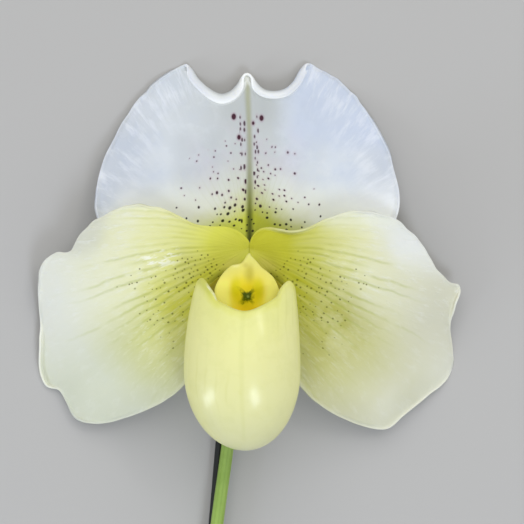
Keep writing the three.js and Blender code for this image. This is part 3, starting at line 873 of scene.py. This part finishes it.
def makePouch():
    wallRows, rimRows, innerRows = pouch["wallRows"], pouch["rimRows"], pouch["innerRows"]
    rows = wallRows + rimRows + innerRows
    piece, row, column = startBall("labellum", pouch["columns"], rows)
    angle = (column / pouch["columns"] * 2 - 1) * math.pi
    degrees = np.degrees(np.abs(angle))
    fine = openCurve(pouch["rim"], np.linspace(0, 1, 1200))
    rimY = np.interp(np.degrees(angle), fine[:, 0], fine[:, 1])
    # the rim folds inwards, most of all on the two ears
    fold = 3.2 * bump(np.radians(degrees) - 1.95, 0.5) + 0.5 * bump(degrees - 45, 18)
    rise = np.clip(row / wallRows, 0, 1) ** pouch["rowSpacing"]
    outer = pouchPoint(angle, lerp(pouch["toe"], rimY - pouch["underRim"], rise), 0)
    profile = np.array(pouch["profile"])
    corners = profile[:, 0::2] + fold[:, None, None] * profile[:, 1::2]
    spans = len(profile) - 1
    at = np.clip(np.clip((row - wallRows) / rimRows, 0, 1) * spans, 0, spans - 1e-9)
    i = at.astype(int)
    near = (corners[np.arange(len(row)), np.clip(i + k, 0, spans)] for k in (-1, 0, 1, 2))
    inset, lift = spline(*near, (at - i)[:, None]).T
    rim = pouchPoint(angle, rimY + lift, inset)
    fall = np.clip((rows - row) / innerRows, 0, 1) ** pouch["rowSpacing"]
    innerTop = rimY - pouch["underRimInside"] - 0.25 * fold
    inner = pouchPoint(angle, lerp(pouch["toe"] + pouch["wall"], innerTop, fall), pouch["wall"])
    points = np.where((row <= wallRows)[:, None], outer,
                      np.where((row < wallRows + rimRows)[:, None], rim, inner))
    height = (points[:, 1] - pouch["toe"]) / (rimY - pouch["toe"])
    beside = smooth(68, 84, degrees)
    within = smooth(0.4 - 0.38 * beside, 0.8 - 0.45 * beside, (row - wallRows) / rimRows)
    setShape(piece, points, skin=[angle / math.pi, height, within])
    return piece


def pouchFinish():
    skin = Finish("lip_skin", Roughness=0.36, Subsurface_Weight=0.4, Subsurface_Scale=0.0015,
                  Coat_Weight=0.4, Coat_Roughness=0.17, Specular_IOR_Level=0.3)
    angle, height, within = skin.mark("skin")
    cloud = skin.noise(70, 3)
    skin.ground = skin.ramp(height + (cloud - 0.5) * 0.25,
                            (0, (222, 221, 170)), (0.3, (232, 230, 168)), (0.7, (238, 235, 164)),
                            (0.93, (236, 235, 152)), (1, (226, 225, 110)))
    vein = angle * 14 + (skin.noise(90) - 0.5) * 1.4
    faint = vein.toWhole().ease(0.2, 0.02) * skin.noise(60, 1).ease(0.45, 0.65)
    skin.tint(faint * 0.2, (210, 208, 116))
    skin.tint(angle.ease(-0.2, -0.45) * 0.5, (246, 242, 146))
    skin.tint(angle.ease(0.25, 0.45) * 0.4, (246, 242, 152))
    mottle = skin.noise(230, 4, 0.65)
    skin.tint(mottle.ease(0.46, 0.64) * 0.1, (206, 206, 120))
    around = abs(angle)
    tips = height.ease(0.93, 0.99) * around.ease(0.3, 0.4)
    skin.tint(tips * 0.5, (226, 222, 92))
    offFront = abs(angle + (cloud - 0.5) * 0.02)
    skin.tint(offFront.ease(0.022, 0.004) * height.ease(0.04, 0.2) * 0.14, (206, 208, 116))
    # the inner wall; beyond the ears it is painted dark olive, a painted shade deep in the mouth
    inside = skin.mix(cloud.ease(0.4, 0.7) * 0.5, (216, 214, 84), (190, 190, 66))
    inside = skin.mix(around.ease(0.38, 0.46), inside, (150, 140, 2))
    ear = angle.within(-0.43, -0.39, -0.19, -0.25)
    skin.tint(ear * height.ease(0.945, 0.98) * 0.55, (200, 204, 84))
    skin.tint(within, inside)
    # painted highlight: glints along the left ear's inner rim
    earGlint = height.ease(0.987, 0.994) * angle.within(-0.31, -0.26, -0.165, -0.19)
    earGlint = earGlint * skin.noise(420, 1).ease(0.36, 0.56, (0.35, 1))
    skin.tint(earGlint * (1 - within) * 0.75, (252, 252, 228))
    grain = skin.noise(160) * 0.5 + skin.noise(1100) * 0.06
    return skin.done(cloud * 1.2 + grain, 0.00014, Coat_Weight=within.ease(0, 1, (0.4, 0)))


dress(makePouch(), pouchFinish(), "labellum")
print("pouch done")

shieldShape = {
    "columns": 160,
    "rows": 80,
    "rolled": 6,
    "thick": 2,
    "edge": 1,
    "lift": 27.5,
    "middle": (0, -12.5),
    "curl": uncurled(0.4),
    "ripple": lambda x, y: 0 * x,
    "outline": [
        (0.4, -3), (-0.4, -3.8), (-0.95, -4.9), (-1.6, -5.7), (-2.7, -5.95), (-4.1, -6.25),
        (-5.8, -7.6), (-7.6, -10.1), (-8.6, -13), (-8, -15.6), (-5.8, -17.7), (-2.9, -18.9),
        (0, -19.4), (2.9, -18.8), (5.8, -17.4), (7.7, -15.3), (8.3, -13.3), (7.7, -11.2),
        (6.6, -9.2), (5.2, -7.9), (3.8, -6.8), (2.7, -5.6), (1.3, -4.1),
    ],
}


def shieldHeight(x, y, reach, turn):
    fall = np.where(y > -13, 0.034, 0.014)
    lobes = bump(np.hypot(x + 3, y + 11.7), 2.2) + bump(np.hypot(x - 2.8, y + 11.7), 2.2)
    boss = bump(np.hypot(x + 0.4, y + 14.8), 1.4)
    groove = bump(x + 0.2, 1.5) * smooth(-13.5, -9.5, y) * smooth(-4, -7, y)
    dome = shieldShape["lift"] - fall * (y + 13) ** 2 - 0.015 * x * x
    return dome + 0.6 * lobes + 0.5 * boss - 0.7 * groove


def shieldFinish():
    skin = Finish("shield_skin", Roughness=0.42, Subsurface_Weight=0.25, Subsurface_Scale=0.0008,
                  Coat_Weight=0.03, Coat_Roughness=0.25, Specular_IOR_Level=0.06,
                  Emission_Strength=0.2)
    x, y = skin.mark("flat", 2)
    cloud = skin.noise(260, 3)
    shaken = skin.noise(900) - 0.5
    skin.ground = skin.ramp(skin.length(x * 0.9, y + 14.2) / 12 + (cloud - 0.5) * 0.04,
                            (0.2, (230, 208, 32)), (0.34, (236, 219, 66)), (0.46, (238, 225, 100)),
                            (0.62, (235, 226, 118)), (0.9, (230, 227, 132)))
    colourAndShadingPatches = (  # middle, stretch, from outside to inside, strength: the orange foot, then painted shade in the groove and in the crease by the left lobe, then a painted highlight on that lobe's top edge
        (0, -18.4, 0.5, 1, 3, 1, 0.8, (246, 206, 30)),
        # painted shade in the groove below the column
        (0.4, -8.6, 1, 0.55, 1.9, 0.3, 0.55, (196, 182, 64)),
        # painted shade in the crease by the left lobe
        (-0.6, -6.5, 1, 1, 1.1, 0.2, 0.4, (204, 190, 88)),
        # painted highlight on the left lobe's top edge
        (-3, -6.6, 0.5, 1, 0.8, 0.2, 0.5, (246, 240, 160)),
    )
    for east, north, wide, high, outer, inner, share, tone in colourAndShadingPatches:
        apart = skin.length((x - east) * wide, (y - north) * high)
        skin.tint(apart.ease(outer, inner) * share, tone)
    wing = abs(x).ease(3.4, 5.6)
    skin.tint(wing * y.ease(-8, -12) * 0.75, (255, 246, 122))
    for lobeX, lobeY in ((-2.9, -12.2), (2.7, -12.5)):
        lobe = skin.length(x - lobeX, (y - lobeY) * 0.48).ease(1.9, 0.4)
        skin.tint(lobe * 0.72, (216, 204, 12))
    skin.tint(skin.length(x, (y + 15) * 0.8).ease(3.6, 1.4) * 0.45, (214, 194, 12))
    east, north = x + 0.1, y + 14.3
    turn = east.maths("ARCTAN2", north, east) * 2 + shaken * 1.5
    arms = turn.maths("SINE", turn)
    away = skin.length(east, north)
    reachOut = abs(arms).ease(0.7, 1, (1.1, 3.3))
    arm = (away / reachOut + shaken * 1.3).ease(1.1, 0.4)
    skin.tint(arm * away.ease(3.2, 1.2, (0.35, 0.8)), (104, 110, 4))
    skin.tint((away + shaken * 2.2).ease(1.85, 0.75) * 0.9, (56, 76, 0))
    fleck = (skin.length(east - 0.15, north + 0.1) + shaken * 1.6).ease(0.5, 0.1)
    skin.tint(fleck * 0.55, (150, 160, 70))
    # painted glow, strongest low down: emission standing in for light through its thin flesh
    glow = skin.mix((y + x * 0.3).ease(-8, -16, (0.1, 1)), (0, 0, 0), skin.ground)
    return skin.done(cloud * 0.8 + skin.noise(2600) * 0.3, 0.00012, Emission_Color=glow)


shield = makeBlade("column_shield", shieldShape, shieldHeight, lambda x, y: {"flat": [x, y]})
dress(shield, shieldFinish(), "column")


def aroundPath(corners, t, angle, radius):
    # points round a path that never runs along x
    ahead = openCurve(corners, np.minimum(t + 0.002, 1))
    along = unit(ahead - openCurve(corners, np.maximum(t - 0.002, 0)))
    across = unit(np.array([1, 0, 0]) - along * along[:, :1])
    up = np.cross(along, across)
    way = across * np.cos(angle)[:, None] + up * np.sin(angle)[:, None]
    return openCurve(corners, t) + radius[:, None] * way


def tube(name, corners, radiusAt, columns, rows):
    # a closed tube along a path, its radius given for each place
    piece, row, column = startBall(name, columns, rows)
    t, angle = row / rows, column / columns * 2 * math.pi
    steps = np.linspace(0, 1, 200)
    fine = openCurve(corners, steps)
    run = np.concatenate([[0], np.cumsum(np.linalg.norm(np.diff(fine, axis=0), axis=1))])
    setShape(piece, aroundPath(corners, t, angle, radiusAt(t, angle)),
             stem=[angle / (2 * math.pi), np.interp(t, steps, run)])
    return piece


def ends(t, first, last):
    # how far a tube has opened near its two ends
    a = np.clip(t / first, 0, 1)
    b = np.clip((1 - t) / last, 0, 1)
    return np.sqrt(1 - (1 - a) ** 2) * np.sqrt(1 - (1 - b) ** 2)


def waxFinish(name, first, second):
    skin = Finish(name, Roughness=0.4, Subsurface_Weight=0.15, Subsurface_Scale=0.002,
                  Coat_Weight=0.15)
    cloud = skin.noise(300, 3)
    skin.ground = skin.mix(cloud.ease(0.35, 0.65), first, second)
    return skin.done(cloud, 0.0002)


columnShape = {
    "path": [(0.5, -5.3, 14.6), (0.5, -5.9, 17.5), (0.5, -7.7, 20.8), (0.2, -10.2, 24.2)],
    "foot": 1.1,  # radius, and how much wider it gets on the way up
    "wider": 1,
    "anther": {"columns": 32, "rows": 24, "radius": 1.5, "height": 1.5, "pinch": 0.18},
    "antherAt": (2.6, -8.6, 21.2),  # the other one mirrors it
    "stigma": {"columns": 40, "rows": 28, "radius": 2.6, "height": 1.56, "dent": 0.2},
    "stigmaAt": (0, -9.6, 21.8),
}


def makeBall(name, middle, columns, rows, radius, height, pinch=0, dent=0):
    # a soft ball, pinched from both sides or dented from below
    piece, row, column = startBall(name, columns, rows)
    theta, phi = row / rows * math.pi, column / columns * 2 * math.pi
    wide = radius * (1 - pinch * (bump(phi - math.pi, 0.5) + bump(phi - 0.02, 0.5)))
    ball = [wide * np.sin(theta) * np.cos(phi), radius * np.sin(theta) * np.sin(phi),
            height * np.cos(theta) - dent * bump(theta - math.pi, 0.5)]
    setShape(piece, np.stack(ball, axis=1) + middle)
    return piece


def columnRadius(t, angle):
    return (columnShape["foot"] + columnShape["wider"] * t) * ends(t, 0.02, 0.08)


stalk = tube("column_stalk", columnShape["path"], columnRadius, 48, 48)
dress(stalk, waxFinish("column_skin", (226, 226, 150), (206, 212, 120)), "column")
pollen = waxFinish("anther_skin", (196, 160, 50), (150, 118, 40))
for side, antherName in ((-1, "anther_left"), (1, "anther_right")):
    antherX, antherY, antherZ = columnShape["antherAt"]
    anther = makeBall(antherName, (side * antherX, antherY, antherZ), **columnShape["anther"])
    dress(anther, pollen, "column")
stigma = makeBall("stigma", columnShape["stigmaAt"], **columnShape["stigma"])
dress(stigma, waxFinish("stigma_skin", (214, 220, 150), (196, 204, 120)), "column")
print("column done")

stem = {
    "ovaryPath": [(0, -0.6, 10.4), (-0.1, -3.2, 8.4), (-0.7, -9, 6.9), (-2.2, -25, 4.4),
                  (-4.2, -44, 2.2)],
    "ovaryRadius": 2.4,
    "ovaryTop": 1.75,
    "ovaryShare": 0.75,  # of its path, the rest is its stalk
    "ribs": 0.17,
    "scapeRadius": 1.65,
    "scapePath": [
        (-4.24, -44.35, 2.17), (-5.67, -56, 1.95), (-8.33, -75.5, 2.2), (-11.1, -100, 2),
        (-13.2, -122, 1.6), (-15.1, -142, 1.15),
    ],
}


def ovaryRadiusAt(t):
    share = stem["ovaryShare"]
    swell = np.maximum(np.sin(np.minimum(1, t / share) * math.pi), 0) ** 0.7
    neck = lerp(stem["ovaryTop"], stem["scapeRadius"], t) * np.sqrt(np.minimum(1, 0.5 + t / 0.08))
    return np.where(t < share, np.maximum(neck, lerp(neck, stem["ovaryRadius"], swell)), neck)


def ovarySkin(t, angle):
    ribs = stem["ribs"] * np.cos(6 * angle + 2 * t) * np.sin(math.pi * np.minimum(1, t / 0.8))
    return (ovaryRadiusAt(t) + ribs) * ends(t, 0.02, 0.01)


def stemFinish(name, first, second, groove, ribCount):
    skin = Finish(name, Roughness=0.45, Subsurface_Weight=0.12, Subsurface_Scale=0.002)
    angle, length = skin.mark("stem", 2)
    cloud = skin.noise(140, 3)
    skin.ground = skin.mix(cloud.ease(0.35, 0.65), first, second)
    skin.tint((angle * ribCount).toWhole().ease(0.3, 0.05) * 0.4, groove)
    fibre = skin.streaks(angle * 60, length * 0.4, 2)
    return skin.done(fibre + skin.noise(2500, 1) * 0.5, 0.00012)


ovary = tube("ovary", stem["ovaryPath"], ovarySkin, 96, 120)
dress(ovary, stemFinish("ovary_skin", (150, 176, 84), (134, 162, 70), (108, 136, 52), 6),
      "ovary")


def scapeSkin(t, angle):
    node = 0.35 * bump(t, 0.02)
    return (stem["scapeRadius"] + 0.1 * t + node) * ends(t, 0.004, 0.0015)


scape = tube("scape", stem["scapePath"], scapeSkin, 48, 260)
dress(scape, stemFinish("scape_skin", (158, 188, 88), (142, 174, 74), (128, 158, 62), 9),
      "scape")

bractShape = {
    "across": 40,
    "along": 60,
    "from": 0.985,  # along the ovary's path
    "to": 0.52,
    "gap": 0.95,  # to the ovary, at its foot
    "opening": 0.5,  # wider than that at its tip
    "footSpread": 2.5,  # radians to either side
    "tipSpread": 0.12,
    "length": 24,
    "thick": 0.8,
}


def makeBract():
    # a sheet that wraps the foot of the ovary from below
    piece = add("bract", bpy.ops.mesh.primitive_grid_add, size=2,
                x_subdivisions=bractShape["across"], y_subdivisions=bractShape["along"])
    side, y, _ = readPoints(piece).T
    share = (y + 1) / 2
    t = lerp(bractShape["from"], bractShape["to"], share)
    spread = lerp(bractShape["footSpread"], bractShape["tipSpread"], share ** 2.2)
    radius = ovaryRadiusAt(t) + bractShape["gap"] + bractShape["opening"] * share
    setShape(piece, aroundPath(stem["ovaryPath"], t, math.pi / 2 - side * spread, radius),
             stem=[side, share * bractShape["length"]])
    modify(piece, "SOLIDIFY", thickness=bractShape["thick"] * mm, offset=0)
    modify(piece, "SUBSURF", levels=1, render_levels=1)
    return piece


dress(makeBract(), stemFinish("bract_skin", (172, 188, 112), (152, 172, 92), (118, 140, 66), 5),
      "bract")
print("stem done")

stakeShape = {
    "top": (-7.2, -48.5, -0.17),
    "foot": (-15.97, -150, -2.17),
    "radius": 1.1,
    "sides": 48,
    "bevel": 0.35,
}


def makeStake():
    top, foot = np.array(stakeShape["top"]), np.array(stakeShape["foot"])
    length = np.linalg.norm(top - foot)
    piece = add(
        "stake", bpy.ops.mesh.primitive_cylinder_add, vertices=stakeShape["sides"],
        radius=stakeShape["radius"] * mm, depth=length * mm,
        location=tuple(((top + foot) / 2 + heart) * mm),
        rotation=Vector(tuple(top - foot)).to_track_quat("Z", "Y").to_euler())
    modify(piece, "BEVEL", width=stakeShape["bevel"] * mm, segments=4, limit_method="ANGLE")
    bpy.ops.object.transform_apply(location=True, rotation=True, scale=True)
    bpy.ops.object.shade_smooth_by_angle(angle=math.radians(35))
    return piece


def stakeFinish():
    skin = Finish("stake_coat", Roughness=0.42, Specular_IOR_Level=0.5)
    cloud = skin.noise(240, 3)
    skin.ground = skin.mix(cloud.ease(0.4, 0.7), (9, 15, 11), (16, 25, 19))
    return skin.done(skin.noise(900), 0.0001, Roughness=cloud.ease(0.3, 0.7, (0.36, 0.52)))


dress(makeStake(), stakeFinish(), "stake")

tieSkin = Finish("tie_skin", Roughness=0.6)
tieCloud = tieSkin.noise(800)
tieSkin.ground = tieSkin.mix(tieCloud, (34, 74, 40), (56, 104, 58))
wear(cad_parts["tie"], tieSkin.done(tieCloud, 0.0002))
print("stake done")

studio = {
    "floor": (186, 184, 180),
    "camera": (3.63, -5.71, 462),  # over the bloom, looking straight down
    "lens": 119.2,
    "sky": 0.52,
}

floor = add("floor", bpy.ops.mesh.primitive_plane_add, size=6, location=(0, 0, 0))
wear(floor, Finish("floor_paint", Roughness=0.9, Base_Color=light(*studio["floor"])))

world = bpy.data.worlds.new("studio")
world.use_nodes = True
world.node_tree.nodes["Background"].inputs["Color"].default_value = (0.95, 0.97, 1, 1)
world.node_tree.nodes["Background"].inputs["Strength"].default_value = studio["sky"]
scene.world = world


def addLight(name, target, direction, distance, size, power, colour=(1, 1, 1)):
    way = Vector(direction).normalized()
    spot = Vector(tuple((np.array(target) + heart) * mm)) + way * distance
    lamp = add(name, bpy.ops.object.light_add, type="AREA", location=spot)
    lamp.data.shape = "RECTANGLE"
    lamp.data.size, lamp.data.size_y = size
    lamp.data.energy = power
    lamp.data.color = colour
    lamp.rotation_euler = way.to_track_quat("Z", "Y").to_euler()


skyBlue = (0.76, 0.84, 1)
addLight("key", (0, 0, 15), (0.08, 0.6, 1), 0.9, (1, 1), 3.6)
addLight("window", (3, -20, 36), (0.6, 0.49, 1), 0.8, (0.26, 0.05), 0.38)
addLight("foot", (1.4, -37.8, 37), (0.42, -0.71, 1), 0.8, (0.17, 0.26), 1.7, skyBlue)
addLight("side", (-9.8, -38.6, 35), (-0.847, -0.54, 0.36), 0.7, (0.13, 0.34), 1.25, skyBlue)

camera = add("camera", bpy.ops.object.camera_add, rotation=(0, 0, 0),
             location=tuple((np.array(studio["camera"]) + heart) * mm))
camera.data.lens = studio["lens"]
camera.data.sensor_width = 36
camera.data.dof.use_dof = False
scene.camera = camera
scene.view_settings.view_transform = "Standard"
print("studio done")
